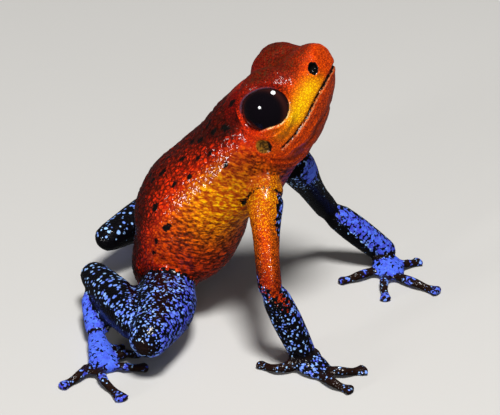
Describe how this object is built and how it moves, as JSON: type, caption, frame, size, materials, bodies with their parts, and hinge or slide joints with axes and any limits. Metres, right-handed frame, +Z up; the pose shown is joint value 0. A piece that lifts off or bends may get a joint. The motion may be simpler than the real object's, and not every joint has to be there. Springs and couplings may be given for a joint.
{
  "type": "strawberry poison dart frog",
  "caption": "Small poison dart frog sitting up on its arms, orange-red body with black flecks, blue and black legs, dark glossy eyes.",
  "frame": {"origin": "middle of the frog's footprint box, on the plane that it sits on", "axes": "+Z up, -Y the way the frog faces, +X to the frog's left"},
  "size_m": [0.0264, 0.0228, 0.0197],
  "materials": {
    "red_orange_skin": "moist grained skin",
    "blue_black_skin": "moist speckled skin",
    "digit_skin": "moist smooth skin",
    "eye": "wet gloss"
  },
  "bodies": {
    "root": {"torso": "red_orange_skin", "head": "red_orange_skin", "eye_right": "eye", "upper_arm_right": "red_orange_skin", "forearm_right": "blue_black_skin", "hand_right": "blue_black_skin", "thigh_right": "blue_black_skin", "shank_right": "blue_black_skin", "tarsus_right": "blue_black_skin", "foot_right": "blue_black_skin", "finger_1_right": "digit_skin", "finger_2_right": "digit_skin", "finger_3_right": "digit_skin", "finger_4_right": "digit_skin", "toe_1_right": "digit_skin", "toe_2_right": "digit_skin", "toe_3_right": "digit_skin", "toe_4_right": "digit_skin", "toe_5_right": "digit_skin", "eye_left": "eye", "upper_arm_left": "red_orange_skin", "forearm_left": "blue_black_skin", "hand_left": "blue_black_skin", "thigh_left": "blue_black_skin", "shank_left": "blue_black_skin", "tarsus_left": "blue_black_skin", "foot_left": "blue_black_skin", "finger_1_left": "digit_skin", "finger_2_left": "digit_skin", "finger_3_left": "digit_skin", "finger_4_left": "digit_skin", "toe_1_left": "digit_skin", "toe_2_left": "digit_skin", "toe_3_left": "digit_skin", "toe_4_left": "digit_skin", "toe_5_left": "digit_skin"}
  },
  "joints": []
}
